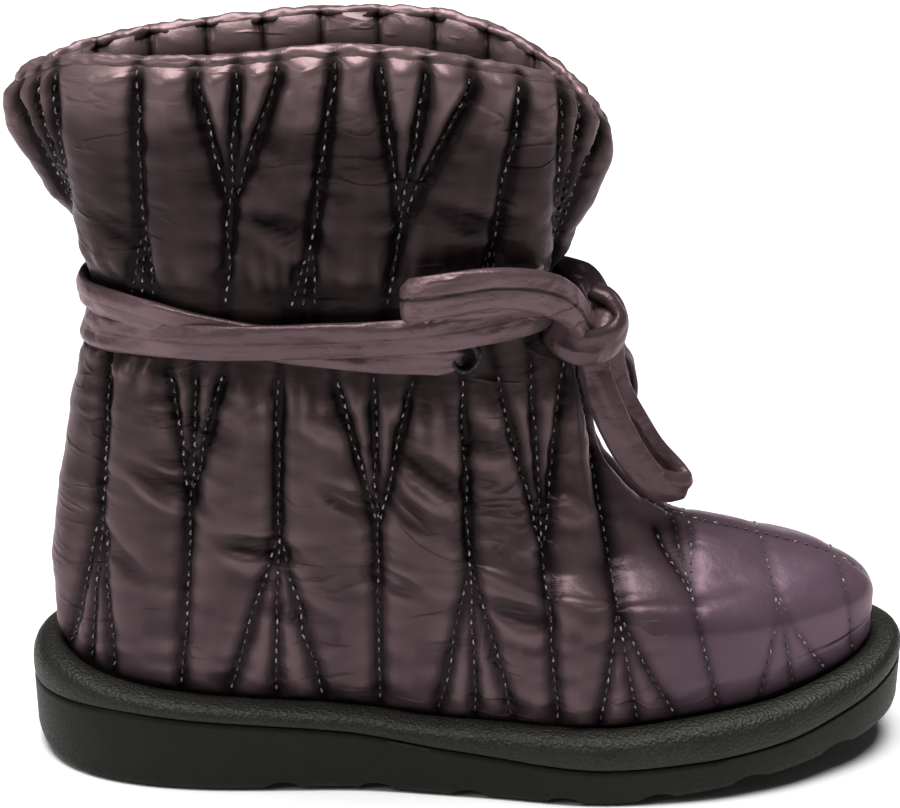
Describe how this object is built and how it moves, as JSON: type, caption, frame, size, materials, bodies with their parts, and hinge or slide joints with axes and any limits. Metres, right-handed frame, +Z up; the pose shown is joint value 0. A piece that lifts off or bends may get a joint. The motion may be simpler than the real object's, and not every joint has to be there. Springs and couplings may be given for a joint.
{
  "type": "winter boot",
  "caption": "Ankle-high quilted winter boot with a padded nylon upper drawn in by a fabric tie at the ankle, on a black rubber sole with a ledge around the upper.",
  "frame": {"origin": "under the middle of the boot, on the plane that its sole stands on", "axes": "+X to the toe, -Y to the outer side of this right boot, +Z up"},
  "size_m": [0.2834, 0.1065, 0.236],
  "materials": {
    "outsole_rubber": "matte moulded rubber",
    "midsole_foam": "matte, finely pebbled",
    "insole_fleece": "napped fabric",
    "quilted_nylon": "satin quilted nylon",
    "binding_nylon": "satin nylon",
    "tie_nylon": "satin nylon tube",
    "eyelet_metal": "black painted metal"
  },
  "bodies": {
    "root": {"outsole": "outsole_rubber", "midsole": "midsole_foam", "insole": "insole_fleece", "upper": "quilted_nylon", "collar_binding": "binding_nylon", "eyelet_lateral": "eyelet_metal", "eyelet_medial": "eyelet_metal", "tie_wrap": "tie_nylon", "tie_knot": "tie_nylon", "tie_loop_lateral": "tie_nylon", "tie_loop_front": "tie_nylon"}
  },
  "joints": []
}
